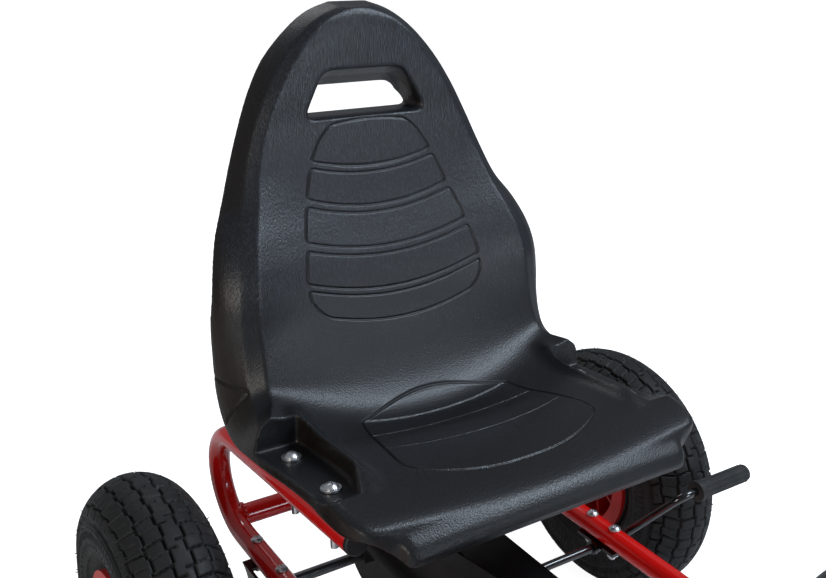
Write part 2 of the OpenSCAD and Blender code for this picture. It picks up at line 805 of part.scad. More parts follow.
module knuckle() {
    difference() {
        union() {
            // two ears round the kingpin sleeve, and the plate that joins them
            for (z = [axle_z - 30.5, axle_z + 25.5]) {
                translate([king_x, axle_front_y, 0]) along_z(10, z, z + 5);
                block([king_x, axle_front_y - 10, z], [king_x + 15, axle_front_y + 10, z + 5]);
            }
            block([king_x + 11, axle_front_y - 10, axle_z - 30.5],
                [king_x + 15, axle_front_y + 10, axle_z + 30.5]);
            // steering arm
            block([king_x - 7, axle_front_y - pitman_r, arm_z - 3],
                [king_x + 7, axle_front_y - 11, arm_z + 2]);
            translate([king_x, axle_front_y - pitman_r, 0]) along_z(9, arm_z - 3, arm_z + 2);
            block([king_x - 7, axle_front_y - 12, arm_z - 3], [king_x + 15, axle_front_y, arm_z + 0.5]);
            // stub axle with its shoulder
            translate([0, axle_front_y, axle_z]) {
                along_x(axle_d / 2, king_x + 12, axle_end);
                along_x(9, king_x + 14, wheel_x - hub_w / 2 - 0.5);
            }
        }
        translate([king_x, axle_front_y, 0]) along_z(king_r + run, axle_z - 40, axle_z + 40);
        translate([king_x, axle_front_y, 0]) along_z(10.4, axle_z - 25.4, axle_z + 25.4);
    }
    // pin of the tie rod, with its head
    translate([king_x, axle_front_y - pitman_r, 0]) {
        along_z(pin_r, arm_z, arm_z + 2 * eye_gap + eye_t + 4);
        along_z(6.2, arm_z + 2 + 2 * eye_gap + eye_t - 0.4, arm_z + 2 * eye_gap + eye_t + 5);
    }
}

module knuckle_left() color("#101010") from_rear_axle() knuckle();
module knuckle_right() color("#101010") from_rear_axle() mirror([1, 0, 0]) knuckle();

module kingpins() color("silver") from_rear_axle() both_sides() translate([king_x, axle_front_y, axle_z]) {
    along_z(king_r, -42, 31);
    translate([0, 0, 30.8]) cylinder(r = 8.5 / cos(30), h = 6, $fn = 6);
    translate([0, 0, -38.8]) cylinder(r = 8.5 / cos(30), h = 8, $fn = 6);
}

module front_nut() translate([wheel_x + hub_w / 2 + 1, axle_front_y, axle_z])
    rotate([0, 90, 0]) nut(axle_d / 2, 17, 8);
module wheel_nut_left() color("silver") from_rear_axle() front_nut();
module wheel_nut_right() color("silver") from_rear_axle() mirror([1, 0, 0]) front_nut();

// ---------------------------------------------------------------- brake

brake_arm_x = drum_x + 3;
shoe_a = -36.2;
shoe_r = 108;

module brake_bracket() color("#101010") from_rear_axle() difference() {
    union() {
        block([rail_x - 9, brake_y - 24, rail_z - 13.5], [rail_x + 9, brake_y + 24, rail_z - 10.5]);
        block([rail_x - 9, brake_y - 5.4, brake_z], [rail_x + 9, brake_y + 5.4, rail_z - 11]);
        translate([0, brake_y, brake_z]) along_x(5.4, rail_x - 9, rail_x + 9);
    }
    translate([0, brake_y, brake_z]) along_x(brake_d / 2 + 0.07, rail_x - 20, rail_x + 20);
    block([rail_x - 20, brake_y - 4.07, brake_z], [rail_x + 20, brake_y + 4.07, rail_z - 10]);
    for (y = brake_bolt_y) translate([rail_x, y, 0]) along_z(m6 + loose, rail_z - 20, rail_z);
}

// the rod leaves the bracket, bends forward and up, then runs out sideways
lever_x = 160;
lever_steps = [["turn", 37.6, 15, 75], ["go", 56.7], ["turn", 180, 15, 75], ["go", 70]];

module brake_lever() color("#181818") from_rear_axle() {
    translate([0, brake_y, brake_z]) {
        along_x(brake_d / 2, beam_x - 1, lever_x + lap);
        translate([lever_x, 0, 0]) tube_run(lever_steps, brake_d / 2, 0);
        // arm that carries the shoe
        rotate([shoe_a, 0, 0]) {
            sheet_x(brake_arm_x, brake_arm_x + 5) slot_2d([0, 0], [shoe_r - 8, 0], 7.5, 4);
            block([brake_arm_x, shoe_r - 16, 0], [brake_arm_x + 11, shoe_r - 4, 4.4]);
        }
        // collar that keeps the rod in the bracket
        along_x(6.5, rail_x - 13, rail_x - 9.5);
    }
}

// end of a tube run, drawn through the same steps
module at_end(steps, i = 0) {
    if (i >= len(steps)) children();
    else if (steps[i][0] == "go") translate([steps[i][1], 0, 0]) at_end(steps, i + 1) children();
    else rotate([steps[i][1], 0, 0])
        translate([steps[i][2] * sin(steps[i][3]), 0, steps[i][2] * (1 - cos(steps[i][3]))])
            rotate([0, -steps[i][3], 0]) at_end(steps, i + 1) children();
}

grip_len = 62;

module brake_grip() color("#181818")
    from_rear_axle() translate([lever_x, brake_y, brake_z]) at_end(lever_steps)
    difference() {
        union() {
            along_x(8, -grip_len + 4, 4);
            along_x(10, -grip_len, -grip_len + 6);
            for (i = [0:11]) rotate([i * 30, 0, 0]) translate([0, 0, 7.6])
                along_x(1.2, -grip_len + 6, 2);
        }
        along_x(brake_d / 2 + run, -grip_len - 1, run);
    }

module brake_shoe() color("#2a2320") from_rear_axle() translate([0, brake_y, brake_z]) rotate([shoe_a, 0, 0])
    block([brake_arm_x + 0.5, shoe_r - 17, 4.4], [brake_arm_x + 11, shoe_r - 1, 10]);

// ---------------------------------------------------------------- seat

// The seat is a hollow moulding, lofted through ribs from the front lip to the
// top of the back. Each rib gives the middle of the front face [y, z], the
// crest of the side [x, y, z] and the back edge of the side wall [x, y, z].
seat_ribs = [
    [[-203, 272], [128, -201, 272], [129, -199, 266]],
    [[-199, 281], [134, -196, 280], [134, -196, 266]],
    [[-191, 288], [139, -187, 287], [140, -187, 272]],
    [[-182, 292], [158, -181, 294], [159, -180, 286]],
    [[-165, 297], [166, -165, 299], [167, -165, 284]],
    [[-140, 299], [168, -140, 303], [169, -140, 283]],
    [[-112, 297], [166, -110, 304], [167, -110, 281]],
    [[-80, 290], [167, -75, 304], [168, -75, 278]],
    [[-58, 284], [168, -50, 306], [170, -45, 275]],
    [[-38, 282], [162, -24, 310], [171, -12, 272]],
    [[-22, 288], [152, -6, 312], [171, 16, 270]],
    [[-8, 302], [149, 6, 317], [171, 38, 280]],
    [[4, 320], [147.5, 13, 328], [171, 52, 302]],
    [[15, 340], [146, 19, 345], [171, 56, 330]],
    [[27, 362], [145.5, 23, 362], [171, 57, 362]],
    [[37, 385], [144.5, 27, 384], [168, 58, 388]],
    [[46, 405], [141, 34, 405], [163, 66, 410]],
    [[58, 428], [135, 47, 428], [154, 80, 432]],
    [[70, 453], [126, 63, 453], [139, 98, 456]],
    [[81, 483], [117, 78.5, 483], [127, 108, 484]],
    [[89, 512], [106, 87.5, 512], [115, 115, 513]],
    [[93, 540], [92, 92, 540], [101, 122, 542]],
    [[96, 565], [75.5, 96.5, 565], [85, 126, 568]],
    [[99, 588], [55, 100, 588], [63, 127, 591]],
    [[102, 603], [36, 103, 602], [42, 128, 606]],
    [[106, 611], [16, 106.5, 610], [19, 129, 614]]];
seat_t = 31;
seat_wall = 3;
back_steps = 6;

// smooth curve through the ribs: a Catmull-Rom cubic on any of their entries
function cubic(a, b, c, d, t) = 0.5 * (2 * b + (c - a) * t
    + (2 * a - 5 * b + 4 * c - d) * t * t + (3 * b - a - 3 * c + d) * t * t * t);
function rib_at(s, k) =
    let (n = len(seat_ribs) - 1, i = min(floor(s), n - 1))
    cubic(seat_ribs[max(i - 1, 0)][k], seat_ribs[i][k], seat_ribs[i + 1][k],
        seat_ribs[min(i + 2, n)][k], s - i);

function unit(v) = v / norm(v);

// thickness direction at a rib, from the front face to the back, in (y, z)
function seat_in(s) =
    let (n = len(seat_ribs) - 1, d = rib_at(min(s + 0.3, n), 0) - rib_at(max(s - 0.3, 0), 0))
    unit([d[1], -d[0]]);

// slab thickness: thin at the lip, full along the rest
function seat_depth(s) = s < 2 ? 7 + 7 * s : s < 9 ? 21 : s < 12 ? 21 + (s - 9) * 10 / 3
    : s < 23 ? seat_t : seat_t - 3.5 * (s - 23);

// one closed loop of points across the seat, inset by a wall thickness
function seat_loop(s, wall) =
    let (mid = rib_at(s, 0), crest = rib_at(s, 1), edge = rib_at(s, 2), dir = seat_in(s),
        depth = seat_depth(s), back = mid + (depth - 2 * wall) * dir,
        front_mid = mid + wall * dir,
        cx = crest[0] - wall - 5, top = [crest[1], crest[2]] + wall * dir,
        ex = edge[0] - wall, low = [edge[1], edge[2]] - wall * dir,
        half = concat(
            [for (i = [0:back_steps])
                let (u = i / back_steps, p = front_mid + (top - front_mid) * pow(u, 2.2))
                [cx * u, p[0], p[1]]],
            [let (p = top + 0.12 * (low - top)) [cx + 4, p[0], p[1]],
                let (p = top + 0.4 * (low - top)) [cx + 4 + 0.5 * (ex - cx - 4), p[0], p[1]],
                let (p = top + 0.85 * (low - top)) [ex, p[0], p[1]],
                [ex - 4, low[0], low[1]]],
            [for (i = [back_steps - 1:-1:1]) let (u = i / back_steps, p = back + (low - back) * pow(u, 3))
                [(ex - 8) * u, p[0], p[1]]]),
        n = len(half))
    concat(half, [[0, back[0], back[1]]],
        [for (i = [n - 1:-1:1]) [-half[i][0], half[i][1], half[i][2]]]);

module loft(loops) {
    n = len(loops[0]);
    last = len(loops) - 1;
    half = floor(n / 2);
    polyhedron(
        points = [for (l = loops) each l],
        faces = concat(
            [for (j = [0:last - 1], i = [0:n - 1])
                [j * n + i, (j + 1) * n + i, (j + 1) * n + (i + 1) % n]],
            [for (j = [0:last - 1], i = [0:n - 1])
                [j * n + i, (j + 1) * n + (i + 1) % n, j * n + (i + 1) % n]],
            cap(0, n, true), cap(last * n, n, false)));
}

// flat-ish end of a loft: strips between mirrored points of its loop
function cap(from, n, flip) = [for (i = [0:n / 2 - 1]) each
    let (a = i, b = i + 1, c = (n - i) % n, d = (n - i - 1) % n,
        quad = concat(a == c ? [] : [[a, b, c]], b == d ? [] : [[c, b, d]]))
    [for (t = quad) flip ? [from + t[0], from + t[1], from + t[2]]
        : [from + t[2], from + t[1], from + t[0]]]];

rib_last = len(seat_ribs) - 1;

module handle_slot(grow) {
    hull() for (p = [[50.5, 525.5], [31.6, 553.7]], s = [-1, 1])
        translate([s * p[0], 0, p[1]]) along_y(6 + grow, 60, 160, $fn = 24);
}

pocket_floor = rail_top_z + rail_d / 2 + 18;

module seat_pocket(grow) {
    translate([0, 0, pocket_floor - grow])
        multmatrix([[1, 0, 0, 0], [0, 1, 0, 0], [0, -rail_slope, 1, 0], [0, 0, 0, 1]])
        block([135 - grow, -124 - grow, 0], [200, -26 + grow, 60]);
}

module seat() color("#1c1c1e") from_rear_axle() difference() {
    union() {
        loft([for (i = [0:rib_last]) seat_loop(i, 0)]);
        // feet that stand on the side tubes round the bolts
        both_sides() for (y = seat_bolt_y) at_seat_bolt(y) along_z(9, rail_d / 2 + 0.1, 25);
    }
    handle_slot(0);
    both_sides() {
        seat_pocket(0);
        for (y = seat_bolt_y) at_seat_bolt(y) along_z(m6 + loose, 5, 40);
    }
    difference() {
        loft([for (i = [1:rib_last - 1]) seat_loop(i, seat_wall)]);
        handle_slot(seat_wall);
        both_sides() {
            seat_pocket(seat_wall);
            for (y = seat_bolt_y) at_seat_bolt(y) along_z(9, 5, 60);
        }
    }
}

floor_h = (pocket_floor - rail_top_z) * cos(slope_a);

module seat_bolts() color("silver") from_rear_axle() both_sides()
    for (y = seat_bolt_y) at_seat_bolt(y)
        translate([0, 0, floor_h + 1.6]) screw(m6, 49.5, 6, 4);

module seat_washers() color("silver") from_rear_axle() both_sides()
    for (y = seat_bolt_y) at_seat_bolt(y) difference() {
        along_z(8, floor_h + 0.1, floor_h + 1.5);
        along_z(m6 + loose, floor_h - 1, floor_h + 3);
    }

module seat_inserts() color("silver") from_rear_axle() both_sides()
    for (y = seat_bolt_y) at_seat_bolt(y) difference() {
        along_z(4.5, 4.2, 9.4);
        along_z(m6 + run, 0, 12);
    }

side_frame();
main_beam();
rail_plugs();
axle_bracket_left();
axle_bracket_right();
frame_bolts();
frame_nuts();
axle_bushes();
chain_case_outer();
chain_case_inner();
panel_screws();
seat();
seat_bolts();
seat_washers();
seat_inserts();
steering_bushes();
crank_bushes();
front_shield();
brake_bracket();
beam_bolts();
kingpins();
lock_nuts();
rear_axle();
rear_sprocket();
brake_drum();
axle_pins();
rear_axle_nuts();
tyre_rear_left();
tube_rear_left();
rim_rear_left();
bearings_rear_left();
tyre_rear_right();
tube_rear_right();
rim_rear_right();
pedal_crank();
crank_sprocket();
pedal_left();
pedal_right();
pedal_caps();
drive_chain();
steering_column();
steering_wheel();
steering_cap();
tie_rod_left();
tie_rod_right();
knuckle_left();
knuckle_right();
wheel_nut_left();
wheel_nut_right();
tyre_front_left();
tube_front_left();
rim_front_left();
bearings_front_left();
tyre_front_right();
tube_front_right();
rim_front_right();
bearings_front_right();
brake_lever();
brake_grip();
brake_shoe();
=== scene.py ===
import math
import json
import bpy
import bmesh
import numpy as np
from mathutils import Matrix, Vector


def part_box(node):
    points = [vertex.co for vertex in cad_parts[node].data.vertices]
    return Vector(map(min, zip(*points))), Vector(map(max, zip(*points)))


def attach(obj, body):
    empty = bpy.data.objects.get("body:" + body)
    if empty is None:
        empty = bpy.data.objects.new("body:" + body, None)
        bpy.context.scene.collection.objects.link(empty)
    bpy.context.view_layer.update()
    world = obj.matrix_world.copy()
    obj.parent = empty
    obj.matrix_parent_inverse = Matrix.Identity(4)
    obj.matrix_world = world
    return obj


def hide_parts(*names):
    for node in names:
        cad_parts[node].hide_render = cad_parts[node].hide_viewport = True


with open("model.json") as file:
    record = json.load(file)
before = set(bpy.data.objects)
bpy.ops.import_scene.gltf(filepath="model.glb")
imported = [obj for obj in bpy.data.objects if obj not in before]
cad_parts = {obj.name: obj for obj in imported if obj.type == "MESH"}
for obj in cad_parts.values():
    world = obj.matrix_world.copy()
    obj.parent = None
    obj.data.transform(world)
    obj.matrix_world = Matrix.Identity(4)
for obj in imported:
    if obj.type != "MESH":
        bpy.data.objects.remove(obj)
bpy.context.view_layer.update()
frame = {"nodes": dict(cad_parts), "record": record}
REAR_Y = 0.350          # the rear axle, measured from the frame's origin
SCENE = bpy.context.scene

# ------------------------------------------------------------------ materials


class Nodes:
    """Small helper that wires a node tree."""

    def __init__(self, name):
        self.mat = bpy.data.materials.new(name)
        self.mat.use_nodes = True
        self.tree = self.mat.node_tree
        self.shader = self.tree.nodes["Principled BSDF"]

    def add(self, kind, links=None, **props):
        """New node with its inputs fed from links and its properties set."""
        node = self.tree.nodes.new(kind)
        for key, value in props.items():
            setattr(node, key, value)
        for key, value in (links or {}).items():
            self.feed(node, key, value)
        return node

    def feed(self, node, key, value):
        """Links a socket to an input, or sets the input's value."""
        socket = node.inputs[key]
        if isinstance(value, bpy.types.NodeSocket):
            self.tree.links.new(value, socket)
        else:
            socket.default_value = value

    def put(self, **inputs):
        """Feeds inputs of the main shader."""
        for key, value in inputs.items():
            self.feed(self.shader, key.replace("_", " "), value)

    def coords(self, scale=(1, 1, 1)):
        place = self.add("ShaderNodeTexCoord").outputs["Object"]
        return self.add("ShaderNodeMapping", {"Vector": place, "Scale": scale}).outputs[0]

    def noise(self, scale, detail=3.0, rough=0.6, where=None):
        where = where or self.coords()
        node = self.add("ShaderNodeTexNoise",
                        {"Vector": where, "Scale": scale, "Detail": detail, "Roughness": rough})
        return node.outputs["Fac"]

    def ramp(self, value, low, high, out_low=0.0, out_high=1.0):
        """Maps low..high to out_low..out_high."""
        node = self.add("ShaderNodeMapRange",
                        {"Value": value, "From Min": low, "From Max": high,
                         "To Min": out_low, "To Max": out_high})
        return node.outputs["Result"]

    def mix(self, factor, one, two):
        node = self.add("ShaderNodeMix", data_type="RGBA")
        self.feed(node, 0, factor)
        self.feed(node, 6, one)
        self.feed(node, 7, two)
        return node.outputs[2]

    def maths(self, operation, one, two=0.0):
        node = self.add("ShaderNodeMath", operation=operation)
        self.feed(node, 0, one)
        self.feed(node, 1, two)
        return node.outputs[0]

    def bump(self, height, strength, distance, under=None):
        links = {"Height": height, "Strength": strength, "Distance": distance}
        if under is not None:
            links["Normal"] = under
        return self.add("ShaderNodeBump", links).outputs[0]


def rgb(r, g, b):
    """Opaque colour."""
    return (r, g, b, 1.0)


def paint(name, colour, dark, orange_peel=0.04):
    """Gloss powder coat with a faint orange peel and random blotches of a second tone."""
    n = Nodes(name)
    blotch = n.ramp(n.noise(9.0), 0.35, 0.7)
    scuffs = n.ramp(n.noise(60.0, 6.0, 0.8), 0.6, 0.8)
    n.put(Base_Color=n.mix(blotch, colour, dark))
    n.put(Roughness=n.ramp(scuffs, 0, 1, 0.16, 0.42))
    n.put(Coat_Weight=0.6, Coat_Roughness=0.06, Specular_IOR_Level=0.5)
    peel = n.noise(700.0, 2.0)
    n.put(Normal=n.bump(peel, orange_peel, 0.0004))
    return n.mat


def moulded(name, colour, dark, rough=0.42, grain=900.0, depth=0.1):
    """Injection-moulded plastic with a fine spark texture."""
    n = Nodes(name)
    blotch = n.ramp(n.noise(14.0, 5.0), 0.3, 0.7)
    n.put(Base_Color=n.mix(blotch, colour, dark))
    wear = n.ramp(n.noise(45.0, 6.0, 0.75), 0.45, 0.75)
    n.put(Roughness=n.ramp(wear, 0, 1, rough, rough + 0.14))
    n.put(Normal=n.bump(n.noise(grain, 2.0), depth, 0.0004))
    return n.mat


def zinc(name, colour, rough=0.22):
    """Bright plated steel, slightly stained."""
    n = Nodes(name)
    stain = n.ramp(n.noise(120.0, 5.0, 0.7), 0.4, 0.75)
    n.put(Base_Color=n.mix(stain, colour, tuple(c * 0.6 for c in colour[:3]) + (1.0,)))
    n.put(Metallic=1.0, Roughness=n.ramp(stain, 0, 1, rough, rough + 0.2))
    brushed = n.noise(260.0, 3.0, 0.6, n.coords((1.0, 0.12, 1.0)))
    n.put(Normal=n.bump(brushed, 0.12, 0.0003))
    return n.mat


def rubber(name, colour, rough=0.72, bloom=0.03):
    """Black rubber with a greyish bloom and a gritty surface."""
    n = Nodes(name)
    cloud = n.ramp(n.noise(22.0, 6.0, 0.7), 0.42, 0.78)
    grey = tuple(c + bloom for c in colour[:3]) + (1.0,)
    n.put(Base_Color=n.mix(cloud, colour, grey))
    n.put(Roughness=n.ramp(n.noise(150.0, 4.0), 0.3, 0.7, rough - 0.1, rough + 0.12))
    n.put(Specular_IOR_Level=0.42)
    n.put(Normal=n.bump(n.noise(1100.0, 3.0, 0.7), 0.28, 0.0005))
    return n.mat


def seat_plastic():
    """Blow-moulded polyethylene: pebble grain on the pan, fine upright streaks on
    the back, browner on the sides as a painted warm reflection, the moulded lines darkened as painted
    shade and their lips made pale as a painted highlight."""
    n = Nodes("seat_plastic")
    place = n.add("ShaderNodeTexCoord").outputs["Object"]
    height = n.add("ShaderNodeSeparateXYZ", {"Vector": place}).outputs["Z"]
    back = n.ramp(height, 0.335, 0.40)
    streaks = n.noise(120.0, 4.0, 0.65, n.coords((5.5, 5.5, 0.18)))
    fine = n.noise(300.0, 2.0, 0.6, n.coords((2.8, 2.8, 0.12)))
    pebble = n.add("ShaderNodeTexVoronoi", {"Vector": n.coords(), "Scale": 820.0},
                   feature="SMOOTH_F1").outputs["Distance"]
    cloud = n.noise(7.0, 4.0, 0.6)
    # facing sideways: the mask for the painted warm reflection on the side walls
    side = n.add("ShaderNodeNewGeometry").outputs["Normal"]
    side = n.add("ShaderNodeSeparateXYZ", {"Vector": side}).outputs["X"]
    side = n.ramp(n.maths("ABSOLUTE", side), 0.6, 0.95)
    base = n.mix(n.ramp(cloud, 0.35, 0.7), rgb(0.0046, 0.0048, 0.0062), rgb(0.0078, 0.0084, 0.0112))
    worn = n.maths("MULTIPLY", n.ramp(streaks, 0.46, 0.66), back)
    base = n.mix(n.maths("MULTIPLY", worn, 0.8), base, rgb(0.021, 0.026, 0.038))
    # painted warm reflection: side-facing walls tinted brown in colour
    base = n.mix(n.maths("MULTIPLY", side, 0.8), base, rgb(0.0075, 0.005, 0.0042))
    # painted shade: the colour is darkened along the moulded lines where the grooves lie
    line = n.add("ShaderNodeAttribute", attribute_name="line").outputs["Fac"]
    base = n.mix(n.ramp(line, 0.1, 0.8, 0.0, 0.85), base, rgb(0.0025, 0.0025, 0.003))
    # painted highlight: the lip beside each pan line is made pale in colour
    base = n.mix(n.ramp(line, -0.1, -0.45, 0.0, 0.45), base, rgb(0.04, 0.042, 0.05))
    n.put(Base_Color=base)
    rough_back = n.ramp(fine, 0.3, 0.7, 0.3, 0.46)
    rough_pan = n.ramp(pebble, 0.0, 0.8, 0.32, 0.48)
    rough = n.add("ShaderNodeMix", {0: back, 2: rough_pan, 3: rough_back}).outputs[0]
    n.put(Roughness=rough, Specular_IOR_Level=0.5)
    # painted warm reflection: reflections on the side-facing walls tinted brown
    n.put(Specular_Tint=n.mix(side, rgb(1, 1, 1), rgb(0.9, 0.72, 0.58)))
    grain = n.bump(pebble, n.ramp(back, 0, 1, 0.5, 0.08), 0.0004)
    scuff = n.bump(fine, n.maths("MULTIPLY", back, 0.7), 0.0005, grain)
    n.put(Normal=scuff)
    return n.mat


def tread_rubber():
    """Tyre rubber: gritty, its grooves darkened to near-black as painted shade, the block tops in the
    rubber's own cloudy grey.
    """
    n = Nodes("tread_rubber")
    top = n.add("ShaderNodeAttribute", attribute_name="top").outputs["Fac"]
    cloud = n.ramp(n.noise(26.0, 6.0, 0.7), 0.42, 0.78)
    block_top_tone = n.mix(cloud, rgb(0.0065, 0.0065, 0.0068), rgb(0.015, 0.015, 0.0155))
    # painted shade: the grooves are darkened to near-black by the tread height
    n.put(Base_Color=n.mix(n.ramp(top, 0.15, 0.85), rgb(0.0012, 0.0012, 0.0013), block_top_tone))
    n.put(Roughness=n.ramp(n.noise(150.0, 4.0), 0.3, 0.7, 0.48, 0.7))
    n.put(Specular_IOR_Level=0.42)
    n.put(Normal=n.bump(n.noise(1100.0, 3.0, 0.7), 0.28, 0.0005))
    return n.mat


MAT = {
    "red_paint": paint("red_paint", rgb(0.88, 0.012, 0.010), rgb(0.76, 0.008, 0.007)),
    "black_paint": paint("black_paint", rgb(0.008, 0.008, 0.009), rgb(0.014, 0.014, 0.015)),
    "red_plastic": moulded("red_plastic", rgb(0.7, 0.03, 0.022), rgb(0.58, 0.018, 0.015), 0.3),
    "seat_plastic": seat_plastic(),
    "black_plastic": moulded("black_plastic", rgb(0.006, 0.006, 0.0065), rgb(0.011, 0.011, 0.012)),
    "white_nylon": moulded("white_nylon", rgb(0.7, 0.7, 0.66), rgb(0.6, 0.59, 0.55), 0.4),
    "tread_rubber": tread_rubber(),
    "soft_rubber": rubber("soft_rubber", rgb(0.014, 0.014, 0.015), 0.6),
    "zinc_steel": zinc("zinc_steel", rgb(0.86, 0.86, 0.88), 0.3),
    "dark_steel": zinc("dark_steel", rgb(0.16, 0.16, 0.17), 0.35),
    "brake_lining": rubber("brake_lining", rgb(0.07, 0.05, 0.04), 0.85),
}


# nodes left unrounded, and nodes whose edges get the finer rounding
NO_BEVEL = {"seat", "drive_chain"}
FINE = {"rear_sprocket", "crank_sprocket", "panel_screws", "seat_bolts", "frame_bolts",
        "front_shield", "chain_case_outer", "chain_case_inner", "seat_washers"}
EDGE_ROUND = 0.0009
FINE_ROUND = 0.0005


def finish_cad():
    """Gives each CAD node the material of its slot, and soft edges."""
    slots = {s["node"]: s["material_slot"] for s in frame["record"]["subparts"]}
    for name, node in frame["nodes"].items():
        node.data.materials.clear()
        node.data.materials.append(MAT[slots[name]])
        smooth(node, 35)
        if name not in NO_BEVEL:
            bevel(node, FINE_ROUND if name in FINE else EDGE_ROUND)


def smooth(obj, degrees):
    """Smooth shading that keeps edges sharper than degrees."""
    for polygon in obj.data.polygons:
        polygon.use_smooth = True
    if obj.modifiers.get("edges"):
        return
    mod = obj.modifiers.new("edges", "EDGE_SPLIT")
    mod.split_angle = math.radians(degrees)


def bevel(obj, width):
    """Rounds the sharp edges before any other modifier."""
    mod = obj.modifiers.new("bevel", "BEVEL")
    mod.width = width
    mod.segments = 2
    mod.limit_method = "ANGLE"
    mod.angle_limit = math.radians(40)
    mod.harden_normals = False
    mod.use_clamp_overlap = True
    obj.modifiers.move(len(obj.modifiers) - 1, 0)


def mesh_object(name, verts, faces, material):
    """New smooth-shaded object from points and faces."""
    mesh = bpy.data.meshes.new(name)
    mesh.from_pydata([tuple(v) for v in verts], [], [tuple(f) for f in faces])
    mesh.update()
    obj = bpy.data.objects.new(name, mesh)
    SCENE.collection.objects.link(obj)
    mesh.materials.append(MAT[material])
    for polygon in mesh.polygons:
        polygon.use_smooth = True
    return obj


def bake(obj):
    """Applies every modifier of obj."""
    graph = bpy.context.evaluated_depsgraph_get()
    mesh = bpy.data.meshes.new_from_object(obj.evaluated_get(graph))
    obj.modifiers.clear()
    obj.data = mesh


# ------------------------------------------------------------------ seat

# Ribs of the seat from the front lip to the top of the back, in millimetres from
# the rear axle: middle of the front face (y, z), crest (x, y, z), back edge
# of the side wall (x, y, z).
RIBS = [
    ((-203, 272), (128, -201, 272), (129, -199, 266)),
    ((-200, 281), (134, -196, 280), (134, -196, 266)),
    ((-192, 288.5), (139, -187, 287), (140, -187, 272)),
    ((-182, 292), (158, -181, 294), (159, -180, 286)),
    ((-165, 295), (166, -165, 299), (167, -165, 284)),
    ((-140, 298), (168, -140, 303), (169, -140, 283)),
    ((-112, 296.5), (166, -110, 304), (167, -110, 281)),
    ((-80, 290), (167, -75, 304), (168, -75, 278)),
    ((-58, 284), (168, -50, 306), (170, -45, 275)),
    ((-38, 282), (162, -24, 310), (171, -12, 272)),
    ((-22, 288), (152, -6, 312), (171, 16, 270)),
    ((-8, 302), (149, 6, 317), (171, 38, 280)),
    ((4, 320), (147.5, 13, 328), (171, 52, 302)),
    ((15, 340), (146, 19, 345), (171, 56, 330)),
    ((27, 362), (145.5, 23, 362), (171, 57, 362)),
    ((37, 385), (144.5, 27, 384), (168, 58, 388)),
    ((46, 405), (141, 34, 405), (163, 66, 410)),
    ((58, 428), (135, 47, 428), (154, 80, 432)),
    ((70, 453), (126, 63, 453), (139, 98, 456)),
    ((81, 483), (117, 78.5, 483), (127, 108, 484)),
    ((89, 512), (106, 87.5, 512), (115, 115, 513)),
    ((93, 540), (92, 92, 540), (101, 122, 542)),
    ((96, 565), (75.5, 96.5, 565), (85, 126, 568)),
    ((99, 588), (55, 100, 588), (63, 127, 591)),
    ((102, 603), (36, 103, 602), (42, 128, 606)),
    ((106, 611), (16, 106.5, 610), (19, 129, 614))]
SEAT_BOLTS = ((149.5, -50), (149.5, -115.5))
RAIL_Z = 250.4
RAIL_SLOPE = 0.1
POCKET_Z = 278.4
LINE_DEPTH = 0.0012     # of the moulded lines, m
VOXEL = 0.0013
SOFTENING = 10
RIM_X = 131             # line of the rolled rim beside a bolt pocket
RIM_HEIGHT = 6.0
BOLT_CLEARANCE = 9.5    # radius of the hole for a bolt head and washer
SLOT_Z = 519.5          # lower edge of the hand slot


def cubic(rows, s):
    """Catmull-Rom curve through rows at s."""
    last = len(rows) - 1
    i = min(int(s), last - 1)
    t = s - i
    a, b, c, d = (rows[min(max(k, 0), last)] for k in (i - 1, i, i + 1, i + 2))
    return 0.5 * (2 * b + (c - a) * t + (2 * a - 5 * b + 4 * c - d) * t ** 2
                  + (3 * b - a - 3 * c + d) * t ** 3)


def slab(s):
    """Thickness of the seat along the loft."""
    return float(np.interp(s, [0, 2, 9, 12, 23, 25], [7, 21, 21, 31, 31, 24]))


MID = np.array([r[0] for r in RIBS], float)
CREST = np.array([r[1] for r in RIBS], float)
EDGE = np.array([r[2] for r in RIBS], float)


def pocket_rim(x, y):
    """Height of the rolled rim between the pan and a bolt pocket."""
    ends = min(max((y + 150) / 25, 0), 1) * min(max((-8 - y) / 16, 0), 1)
    return RIM_HEIGHT * math.exp(-((x - RIM_X) / 8) ** 2) * ends


def seat_ring(s, across=44, around=7):
    """One loop across the seat, as an array of x, y, z."""
    mid = cubic(MID, s)
    crest = cubic(CREST, s)
    edge = cubic(EDGE, s)
    ahead = cubic(MID, min(s + 0.3, len(RIBS) - 1.0)) - cubic(MID, max(s - 0.3, 0.0))
    inward = np.array([ahead[1], -ahead[0]]) / np.linalg.norm(ahead)
    back = mid + slab(s) * inward
    top = crest[1:]
    low = edge[1:]
    half = []
    for u in np.linspace(0, 1, across):
        p = mid + (top - mid) * u ** 2.2
        x = (crest[0] - 6) * u
        half.append((x, p[0], p[1] + pocket_rim(x, p[0])))
    a = np.array([crest[0] - 6, *top])
    b = np.array([edge[0], *low])
    corner = a + np.array([5.5, 0, 0]) + 0.04 * (b - a)
    for t in np.linspace(0, 1, around)[1:]:
        side = corner + (b - corner) * t
        side[0] = corner[0] + (b[0] - corner[0]) * (1 - (1 - t) ** 2.0)
        half.append(tuple(side))
    half.append((edge[0] - 4, *(low + 3 * inward)))
    for u in np.linspace(1, 0, across)[1:]:
        p = back + (low + 3 * inward - back) * u ** 3
        half.append(((edge[0] - 8) * u, p[0], p[1]))
    half = np.array(half)
    other = half[1:-1][::-1] * np.array([-1, 1, 1])
    return np.vstack([half, other])


